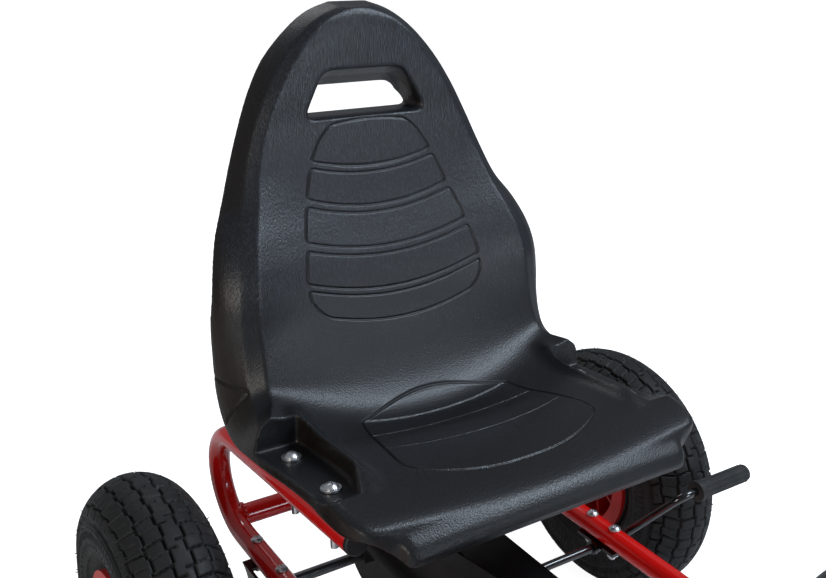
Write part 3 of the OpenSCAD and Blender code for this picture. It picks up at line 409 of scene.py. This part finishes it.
def loft(rings):
    """Closed tube of faces through equal loops, its ends capped."""
    n = len(rings[0])
    faces = []
    for j in range(len(rings) - 1):
        for i in range(n):
            k = (i + 1) % n
            faces.append((j * n + i, (j + 1) * n + i, (j + 1) * n + k, j * n + k))
    last = (len(rings) - 1) * n
    for i in range(n // 2):
        a, b, c, d = i, i + 1, (n - i) % n, n - i - 1
        quad = [a, b, d % n, c]
        quad = list(dict.fromkeys(quad))
        faces.append(tuple(quad))
        faces.append(tuple(last + q for q in reversed(quad)))
    return np.vstack(rings), faces


def to_frame(points):
    """Millimetres from the rear axle to metres in the row frame."""
    return np.asarray(points, float) / 1000 + np.array([0, REAR_Y, 0])


def cutter(verts, faces):
    """Tool object from points in millimetres from the rear axle."""
    return mesh_object("cutter", to_frame(verts), faces, "seat_plastic")


def prism(outline, low, high):
    """Closed prism between two maps of a flat outline."""
    n = len(outline)
    verts = [low(p) for p in outline] + [high(p) for p in outline]
    faces = [tuple(reversed(range(n))), tuple(range(n, 2 * n))]
    faces += [(i, (i + 1) % n, n + (i + 1) % n, n + i) for i in range(n)]
    return cutter(verts, faces)


def round_corners(points, radius, steps=6):
    """Closed outline with each corner replaced by an arc-like curve."""
    out = []
    n = len(points)
    for i in range(n):
        p = np.array(points[i], float)
        before = np.array(points[i - 1], float) - p
        after = np.array(points[(i + 1) % n], float) - p
        a = p + before / np.linalg.norm(before) * radius
        b = p + after / np.linalg.norm(after) * radius
        for t in np.linspace(0, 1, steps):
            out.append((1 - t) ** 2 * a + 2 * t * (1 - t) * p + t ** 2 * b)
    return out


def slot_cutter():
    """Hand slot: flared at the front, its roof sloping down to the rear."""
    wide = [(-59.5, 0), (59.5, 0), (40, 40.2), (-40, 40.2)]
    outline = round_corners(wide, 11)
    rings = []
    for y, grow, roof in ((60, 5.0, 1.0), (87, 5.0, 1.0), (91, 2.6, 1.0), (97, 0.0, 0.98),
                          (111, 0.0, 0.8), (125, 0.0, 0.54), (175, 0.0, 0.5)):
        stretch = 1 + grow / 45
        rings.append([(x * stretch, y, SLOT_Z + (h * stretch - grow * 0.5) * roof) for x, h in outline])
    return tunnel(rings)


def tunnel(rings):
    """Closed cutter through a row of equal outlines."""
    n = len(rings[0])
    verts = [p for ring in rings for p in ring]
    faces = []
    for j in range(len(rings) - 1):
        for i in range(n):
            k = (i + 1) % n
            faces.append((j * n + i, j * n + k, (j + 1) * n + k, (j + 1) * n + i))
    faces += [tuple(reversed(range(n))), tuple(range((len(rings) - 1) * n, len(rings) * n))]
    obj = cutter(verts, faces)
    fix_normals(obj)
    return obj


# stages of a bolt pocket from its rear wall forward: y, how far the inner wall
# has moved out, how far the roof has risen, height of the floor above the tube
POCKET_STAGES = [(-24, 0, 0, 0), (-28, -1, 40, 0), (-36, -3, 40, 0), (-95, -4, 40, 0),
                 (-108, -3.5, 40, 0), (-117, -1, 40, 0), (-124, 2, 40, 0.8), (-136, 7, 40, 4),
                 (-154, 10.5, 40, 12)]


def pocket_cutter(side):
    """Bolt pocket: a half-moon rear wall, a floor parallel to the tube, open
    outside, running out forward in a ramp."""
    arch = [(150 - 17 * math.cos(a), 30 * math.sin(a) ** 0.8)
            for a in np.linspace(0.06, math.pi - 0.08, 19)]
    outline = [(133, 0), *arch, (167.5, 2), (215, 2), (215, 0)]
    rings = []
    for y, shift, lift, base in POCKET_STAGES:
        floor = POCKET_Z - RAIL_SLOPE * y
        rings.append([(side * (x + (shift if x < 145 else 0)), y, floor + max(base, h + lift if h else 0))
                      for x, h in outline])
    return tunnel(rings)


def fix_normals(obj):
    """Turns all faces outward."""
    bm = bmesh.new()
    bm.from_mesh(obj.data)
    bmesh.ops.recalc_face_normals(bm, faces=bm.faces)
    bm.to_mesh(obj.data)
    bm.free()


def bolt_cutter(side, x, y):
    """Round clearance for a bolt head and its washer."""
    turns = np.linspace(0, 2 * math.pi, 33)[:-1]
    ring = [(side * x + BOLT_CLEARANCE * math.cos(a), y + BOLT_CLEARANCE * math.sin(a))
            for a in turns]
    floor = POCKET_Z - RAIL_SLOPE * y - 0.4
    obj = prism(ring, lambda p: (p[0], p[1], floor - RAIL_SLOPE * (p[1] - y)),
                lambda p: (p[0], p[1], floor + 40))
    fix_normals(obj)
    return obj


def cut(obj, tools):
    """Takes every tool out of obj, then discards the tools."""
    for tool in tools:
        mod = obj.modifiers.new("cut", "BOOLEAN")
        mod.operation = "DIFFERENCE"
        mod.solver = "EXACT"
        mod.object = tool
    bake(obj)
    for tool in tools:
        bpy.data.objects.remove(tool)


def rounded_box(px, pz, left, right, low, high, radius):
    """Signed distance to a rounded box whose four sides may vary per point."""
    qx = np.maximum(left - px, px - right) + radius
    qz = np.maximum(low - pz, pz - high) + radius
    outside = np.hypot(np.maximum(qx, 0), np.maximum(qz, 0))
    return outside + np.minimum(np.maximum(qx, qz), 0) - radius


# panels of the back: top height, half width and sag; bottom height, half width
# and sag; radius of the top and of the bottom corners
BACK_PANELS = [
    (511, 47, -5, 485.5, 62, 9, 12, 4),
    (479.6, 63.6, 9, 455.6, 72.3, 12, 4, 4),
    (449.5, 74.5, 12, 423.1, 82.8, 13, 4, 4),
    (416.5, 84.0, 13, 391.3, 89.7, 15, 4, 4),
    (385.7, 89.6, 15, 365.0, 86.0, 14, 4, 16)]

# bars across the pan: y at both ends, forward bow in the middle, half width
PAN_BARS = [(-32, -18, 76.6), (-32, 5, 76.6), (-59, 1, 83.2), (-90.5, 13, 90.3)]
PAN_SIDE_Y = [-135.5, -127, -114, -90.5, -59, -32]
PAN_SIDE_X = [88, 94, 94.5, 90.3, 83.2, 76.6]
# wedge pressed into each side wall near its rear edge, as (y, z)
WEDGE = [(54, 318), (15.6, 314.6), (31.6, 284.3)]


def groove(off, width):
    """Depth of a line at distance off, with a raised lip on its far side."""
    return np.exp(-(off / width) ** 2) - 0.25 * np.exp(-((off + 1.8 * width) / width) ** 2)


def back_lines(x, z, width):
    """Depth of the panel outlines on the back."""
    depth = np.zeros(len(x))
    for top, top_w, top_sag, bottom, bottom_w, bottom_sag, top_r, bottom_r in BACK_PANELS:
        high = top - top_sag * (1 - (x / top_w) ** 2)
        low = bottom - bottom_sag * (1 - (x / bottom_w) ** 2)
        level = (z - low) / (high - low)
        half = np.interp(level, [0, 1], [bottom_w, top_w])
        radius = np.where(level > 0.5, top_r, bottom_r)
        d = rounded_box(x, level * (top - bottom), -half, half, 0, top - bottom, radius)
        depth = np.maximum(depth, np.exp(-(d / width) ** 2))
    return depth


def pan_lines(a, y, width):
    """Depth of the bars and outline on the pan, at distance a from the middle."""
    lines = np.zeros(len(a))
    lip = np.zeros(len(a))
    for end, bow, reach in PAN_BARS:
        line = groove(y - (end - bow * (1 - (a / reach) ** 2)), width) * (a < reach)
        lines = np.maximum(lines, line)
        lip = np.minimum(lip, line)
    front = -129 - 30 * (1 - (a / 97) ** 2.5)
    lines = np.maximum(lines, np.exp(-((y - front) / width) ** 2) * (a < 88))
    half = np.interp(y, PAN_SIDE_Y, PAN_SIDE_X)
    within = (y > -135.5) & (y < -32)
    lines = np.maximum(lines, np.exp(-((a - half) / width) ** 2) * within)
    return np.where(lines > 0.1, lines, lip)


def panel_lines(p, width=0.85):
    """Depth of the moulded lines at points p (mm from the rear axle)."""
    x, y, z = p[:, 0], p[:, 1], p[:, 2]
    return np.where(z > 335, back_lines(x, z, width), pan_lines(np.abs(x), y, width))


def wedge_lines(y, z, width):
    """Depth of the two lines of the side wall's wedge."""
    lines = np.zeros(len(y))
    for (y0, z0), (y1, z1) in zip(WEDGE, WEDGE[1:]):
        along = ((y - y0) * (y1 - y0) + (z - z0) * (z1 - z0)) / ((y1 - y0) ** 2 + (z1 - z0) ** 2)
        along = np.clip(along, 0, 1)
        off = np.hypot(y - y0 - along * (y1 - y0), z - z0 - along * (z1 - z0))
        lines = np.maximum(lines, np.exp(-(off / width) ** 2))
    return lines


def seat_points(mesh):
    """Places of a mesh's points in millimetres from the rear axle."""
    co = np.empty(len(mesh.vertices) * 3)
    mesh.vertices.foreach_get("co", co)
    return (co.reshape(-1, 3) - np.array([0, REAR_Y, 0])) * 1000


def refine(obj):
    """Splits the faces close to a moulded line, so that the line comes out crisp."""
    near = np.abs(panel_lines(seat_points(obj.data), 3.0)) > 0.15
    bm = bmesh.new()
    bm.from_mesh(obj.data)
    bm.verts.ensure_lookup_table()
    edges = [e for e in bm.edges if near[e.verts[0].index] and near[e.verts[1].index]
             and e.verts[0].normal.z - e.verts[0].normal.y > 0.5]
    bmesh.ops.subdivide_edges(bm, edges=edges, cuts=1, use_grid_fill=True)
    bm.to_mesh(obj.data)
    bm.free()


def carve(obj):
    """Presses the moulded lines into the face of the seat."""
    refine(obj)
    mesh = obj.data
    mm = seat_points(mesh)
    no = np.empty(len(mesh.vertices) * 3)
    mesh.vertices.foreach_get("normal", no)
    no = no.reshape(-1, 3)
    facing = (no[:, 2] - no[:, 1]) > 0.55
    line = panel_lines(mm) * facing
    line += wedge_lines(mm[:, 1], mm[:, 2], 1.4) * (np.abs(no[:, 0]) > 0.75)
    co = to_frame(mm) - no * (line * LINE_DEPTH)[:, None]
    mesh.vertices.foreach_set("co", co.ravel())
    # the line depth also drives the painted shade in the grooves and the painted highlight on the
    # pan-line lips
    attribute = mesh.attributes.new("line", "FLOAT", "POINT")
    attribute.data.foreach_set("value", line)
    mesh.update()


def make_seat():
    """Lofts the seat, cuts its slot and pockets, rounds it and presses its lines."""
    step = 5
    rings = [seat_ring(s) for s in np.linspace(0, len(RIBS) - 1, (len(RIBS) - 1) * step + 1)]
    verts, faces = loft(rings)
    seat = mesh_object("seat_shell", to_frame(verts), faces, "seat_plastic")
    fix_normals(seat)
    tools = [slot_cutter()]
    for side in (-1, 1):
        tools.append(pocket_cutter(side))
        tools += [bolt_cutter(side, x, y) for x, y in SEAT_BOLTS]
    cut(seat, tools)
    mod = seat.modifiers.new("skin", "REMESH")
    mod.mode = "VOXEL"
    mod.voxel_size = VOXEL
    mod = seat.modifiers.new("soften", "SMOOTH")
    mod.factor = 0.5
    mod.iterations = SOFTENING
    bake(seat)
    carve(seat)
    for polygon in seat.data.polygons:
        polygon.use_smooth = True
    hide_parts("seat")
    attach(seat, "chassis")


# ------------------------------------------------------------------ tyres

CARCASS_R = 42.5
CARCASS_AT = 87.5
PITCHES = 34            # tread blocks round the tyre
PITCH = 24.0            # their spacing at the crown, mm
TREAD = 3.4             # depth of the grooves, mm
TREAD_HALF = 55         # arc from the crown to where the tread ends, mm
WALL_HALF = 97          # arc from the crown to the bead, mm
WALL_DROP = 1.8         # side wall below the carcass radius, mm
BEAD_R = 50.5
WHISKERS = 150
# arc from the crown to each round groove, mm
ROW_EDGES = (7.6, 23.0, 40.0)


def soft_step(value, edge, width):
    """Rises smoothly from 0 to 1 over width about edge."""
    t = np.clip((value - edge) / width + 0.5, 0, 1)
    return t * t * (3 - 2 * t)


def tread_height(turn, across):
    """Height of the rubber above the groove floor, in mm. turn counts tread
    pitches round the tyre, across is the arc from the crown in mm."""
    side = np.sign(across)
    a = np.abs(across)
    row = sum((a >= edge).astype(int) for edge in ROW_EDGES)
    shift = np.choose(row, [0.0, 0.5, 0.1, 0.6]) + 0.25 * (side > 0)
    skew = np.choose(row, [0.0, 0.006, -0.012, 0.01]) * a * side
    phase = np.mod(turn + shift + skew, 1.0)
    edge = np.minimum(phase, 1 - phase) * PITCH
    blocks = soft_step(edge, 1.05, 0.6)
    zig = 0.9 * np.sign(np.sin(2 * math.pi * (turn + 0.25 * (side > 0))))
    for groove_at, half in zip(ROW_EDGES, (1.0, 1.25, 0.9)):
        blocks = blocks * soft_step(np.abs(a - groove_at - zig), half, 0.6)
    slit = np.abs(phase - 0.5) * PITCH
    inside = ((a > 12) & (a < 20)) | ((a > 27) & (a < 35)) | ((a > 42) & (a < 47))
    blocks = blocks * np.where(inside, soft_step(slit, 0.4, 0.5) * 0.7 + 0.3, 1)
    return np.where(a < 54, TREAD * blocks, 0.0) * (1 - soft_step(a, 50, 4))


def side_relief(turn, across):
    """Bands and radial ribs of the side wall."""
    a = np.abs(across)
    band = 0.8 * (soft_step(a, 57, 1) - soft_step(a, 59, 1))
    band += 0.8 * (soft_step(a, 80, 1) - soft_step(a, 82.5, 1))
    ribs = 0.7 * soft_step(np.sin(2 * math.pi * turn * 3), 0.35, 0.5)
    ribs = ribs * (soft_step(a, 61, 1) - soft_step(a, 67, 1))
    dots = 0.6 * soft_step(np.cos(2 * math.pi * turn * 2) * np.cos((a - 73) * 0.8), 0.5, 0.4)
    dots = dots * (soft_step(a, 70, 1) - soft_step(a, 76, 1))
    return band + ribs + dots


def tyre_mesh():
    """One tyre about the X axis, centred on the origin, in metres."""
    around = 1100
    wall_steps = 64
    tread_steps = 170
    arc = np.concatenate([np.linspace(-WALL_HALF, -TREAD_HALF, wall_steps)[:-1],
                          np.linspace(-TREAD_HALF, TREAD_HALF, tread_steps),
                          np.linspace(TREAD_HALF, WALL_HALF, wall_steps)[1:]])
    turn = np.arange(around) / around * PITCHES
    big_turn, big_arc = np.meshgrid(turn, arc, indexing="ij")
    relief = tread_height(big_turn, big_arc) + side_relief(big_turn, big_arc)
    crown = np.abs(big_arc) < TREAD_HALF
    base = CARCASS_R - np.where(crown, TREAD, WALL_DROP)
    radius = np.minimum(base + relief, CARCASS_R)
    r = CARCASS_AT + radius * np.cos(big_arc / CARCASS_R)
    x = radius * np.sin(big_arc / CARCASS_R)
    r = np.maximum(r, BEAD_R)
    theta = np.arange(around) / around * 2 * math.pi
    outer = np.stack([x, r * np.cos(theta)[:, None], r * np.sin(theta)[:, None]], axis=-1)
    # bead and inner wall close the section
    inner = [(32.5, 62), (32.5, 51.5), (25, 50.6), (24.5, 62), (34, 75), (36, 90), (28, 112), (0, 123.5),
             (-28, 112), (-36, 90), (-34, 75), (-24.5, 62), (-25, 50.6), (-32.5, 51.5), (-32.5, 62)]
    rest = np.array([[(px, pr * math.cos(t), pr * math.sin(t)) for px, pr in inner] for t in theta])
    grid = np.concatenate([outer, rest], axis=1)
    m = grid.shape[1]
    verts = grid.reshape(-1, 3) / 1000
    i = np.arange(around)[:, None]
    j = np.arange(m)[None, :]
    k = (i + 1) % around
    q = (j + 1) % m
    faces = np.stack([i * m + j, i * m + q, k * m + q, k * m + j], axis=-1).reshape(-1, 4)
    # tread height as a fraction: the mask for the painted shade in the grooves
    top = np.where(crown & (np.abs(big_arc) < 50), relief / TREAD, 1.0)
    top = np.concatenate([top, np.ones((around, len(inner)))], axis=1)
    return verts, faces, top.ravel()


def make_tyres():
    """Four tyres in place of the CAD ones, each turned differently."""
    verts, faces, top = tyre_mesh()
    mesh = bpy.data.meshes.new("tyre")
    mesh.from_pydata(verts.tolist(), [], faces.tolist())
    mesh.update()
    mesh.materials.append(MAT["tread_rubber"])
    for polygon in mesh.polygons:
        polygon.use_smooth = True
    bm = bmesh.new()
    bm.from_mesh(mesh)
    bmesh.ops.recalc_face_normals(bm, faces=bm.faces)
    bm.to_mesh(mesh)
    bm.free()
    mesh.attributes.new("top", "FLOAT", "POINT").data.foreach_set("value", top)
    for k, place in enumerate(("rear_left", "rear_right", "front_left", "front_right")):
        low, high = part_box("tyre_" + place)
        middle = Matrix.Translation((Vector(low) + Vector(high)) / 2)
        flip = Matrix.Rotation(math.pi if low[0] < 0 else 0.0, 4, "Z")
        place_at = middle @ flip @ Matrix.Rotation(0.4 * k, 4, "X")
        own = mesh.copy()
        own.transform(place_at)
        tyre = bpy.data.objects.new("tread_tyre_" + place, own)
        SCENE.collection.objects.link(tyre)
        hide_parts("tyre_" + place)
        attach(tyre, body_for("tyre_" + place))
        nibs(place_at, place, k)


def body_for(node):
    """Name of the body that holds a node."""
    for body, nodes in frame["record"]["behaviour"]["bodies"].items():
        if node in nodes:
            return body


def nibs(place_at, place, seed):
    """Moulding whiskers scattered over the tread and side."""
    rng = np.random.default_rng(seed + 5)
    bm = bmesh.new()
    for _ in range(WHISKERS):
        theta = rng.uniform(0, 2 * math.pi)
        arc = rng.uniform(3, 62) * rng.choice([-1, 1])
        psi = arc / CARCASS_R
        normal = Vector((math.sin(psi), math.cos(psi) * math.cos(theta), math.cos(psi) * math.sin(theta)))
        centre = Vector((0, math.cos(theta), math.sin(theta))) * CARCASS_AT / 1000
        sunk = 0.6 if abs(arc) < 50 else 2.0
        start = centre + normal * (CARCASS_R - sunk) / 1000
        length = rng.uniform(0.0016, 0.0034)
        turn = normal.to_track_quat("Z", "Y").to_matrix().to_4x4()
        where = Matrix.Translation(start + normal * length / 2) @ turn
        bmesh.ops.create_cone(bm, cap_ends=True, segments=6, radius1=0.00045, radius2=0.0003,
                              depth=length, matrix=where)
    mesh = bpy.data.meshes.new("whiskers")
    bm.to_mesh(mesh)
    bm.free()
    mesh.transform(place_at)
    mesh.materials.append(MAT["soft_rubber"])
    obj = bpy.data.objects.new("whiskers_" + place, mesh)
    SCENE.collection.objects.link(obj)
    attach(obj, body_for("tyre_" + place))


# ------------------------------------------------------------------ small parts


def weld_bead(name, centre, axis, radius, seed):
    """Lumpy ring of weld where a round bar meets another part."""
    axis = Vector(axis).normalized()
    side = axis.orthogonal().normalized()
    other = axis.cross(side)
    rng = np.random.default_rng(seed)
    around = 72
    ring = 8
    ripple = 0.22 * np.sin(np.arange(around) * 2 * math.pi * 18 / around)
    lumps = 1 + ripple + rng.uniform(-0.08, 0.08, around)
    verts = []
    for i in range(around):
        a = 2 * math.pi * i / around
        out = side * math.cos(a) + other * math.sin(a)
        for k in range(ring):
            b = 2 * math.pi * k / ring
            size = 0.0022 * lumps[i]
            verts.append(Vector(centre) + out * (radius + size * math.cos(b)) + axis * size * math.sin(b))
    faces = [(i * ring + k, i * ring + (k + 1) % ring, ((i + 1) % around) * ring + (k + 1) % ring,
              ((i + 1) % around) * ring + k) for i in range(around) for k in range(ring)]
    obj = mesh_object(name, verts, faces, "red_paint")
    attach(obj, "chassis")


def make_welds():
    """Beads at both ends of the cross tube behind the seat."""
    back_y = REAR_Y + 0.088
    for side in (-1, 1):
        weld_bead("weld_cross_%s" % ("left" if side > 0 else "right"),
                  (side * 0.1365, back_y, 0.151), (1, 0, 0), 0.0098, 3 + side)


# ------------------------------------------------------------------ studio


FLOOR_GLOW = 0.93       # hides all but a faint shadow from the camera
ROOM_LIGHT = 0.2


def soft_light(name, at, target, size, power, colour=(1, 1, 1)):
    """Rectangular lamp at a place, aimed at target."""
    data = bpy.data.lights.new(name, "AREA")
    data.shape = "RECTANGLE"
    data.size, data.size_y = size
    data.energy = power
    data.color = colour
    lamp = bpy.data.objects.new(name, data)
    SCENE.collection.objects.link(lamp)
    lamp.location = at
    lamp.rotation_euler = (Vector(target) - Vector(at)).to_track_quat("-Z", "Y").to_euler()


def camera_ray(tree):
    """1 where a ray comes straight from the camera."""
    return tree.nodes.new("ShaderNodeLightPath").outputs["Is Camera Ray"]


def pale_floor():
    """White floor that keeps only a faint shadow under the kart."""
    n = Nodes("floor")
    n.put(Base_Color=n.mix(n.noise(3.0), rgb(0.80, 0.80, 0.80), rgb(0.83, 0.83, 0.83)))
    n.put(Roughness=0.9, Specular_IOR_Level=0.1, Emission_Color=rgb(1, 1, 1))
    n.put(Emission_Strength=n.maths("MULTIPLY", camera_ray(n.tree), FLOOR_GLOW))
    bpy.ops.mesh.primitive_plane_add(size=24, location=(0, 0, -0.0005))
    floor = bpy.context.object
    floor.name = "floor"
    floor.data.materials.append(n.mat)


def room():
    """White to the camera, dim to the object, so that the lamps shape it."""
    world = bpy.data.worlds.new("studio")
    SCENE.world = world
    world.use_nodes = True
    tree = world.node_tree
    dim = tree.nodes["Background"]
    dim.inputs[0].default_value = rgb(0.9, 0.95, 1.0)
    dim.inputs[1].default_value = ROOM_LIGHT
    white = tree.nodes.new("ShaderNodeBackground")
    white.inputs[0].default_value = rgb(1.0, 1.0, 1.0)
    mix = tree.nodes.new("ShaderNodeMixShader")
    tree.links.new(camera_ray(tree), mix.inputs[0])
    tree.links.new(dim.outputs[0], mix.inputs[1])
    tree.links.new(white.outputs[0], mix.inputs[2])
    tree.links.new(mix.outputs[0], tree.nodes["World Output"].inputs[0])


def studio():
    """Floor, surroundings and four soft lamps."""
    pale_floor()
    room()
    middle = (0, REAR_Y, 0.35)
    soft_light("top", (1.2, -0.5, 2.1), middle, (0.8, 0.8), 34, (0.76, 0.87, 1.0))
    soft_light("front", (0.9, -2.7, 1.1), middle, (0.9, 0.9), 20, (0.8, 0.89, 1.0))
    soft_light("back", (0.2, 2.4, 2.4), middle, (1.2, 0.5), 9)
    soft_light("left", (-2.0, -0.7, 1.0), middle, (0.35, 1.1), 14, (1.0, 0.95, 0.88))
    SCENE.view_settings.view_transform = "Standard"
    SCENE.view_settings.look = "None"


def photo_camera():
    """Camera at the picture's viewing angle, placed from the rear axle."""
    forward = Vector((0.5128, 0.7843, -0.3503)).normalized()
    right = Vector((0.8373, -0.5468, 0.0)).normalized()
    up = right.cross(forward)
    roll = math.radians(1.1)
    x_axis = right * math.cos(roll) + up * math.sin(roll)
    y_axis = up * math.cos(roll) - right * math.sin(roll)
    data = bpy.data.cameras.new("camera")
    data.lens = 43.69
    data.sensor_width = 36.0
    camera = bpy.data.objects.new("camera", data)
    SCENE.collection.objects.link(camera)
    at = Vector((-0.4504, REAR_Y - 0.6787, 0.6867))
    turn = Matrix((x_axis, y_axis, -forward)).transposed().to_4x4()
    camera.matrix_world = Matrix.Translation(at) @ turn
    SCENE.camera = camera


finish_cad()
make_seat()
make_tyres()
make_welds()
studio()
photo_camera()
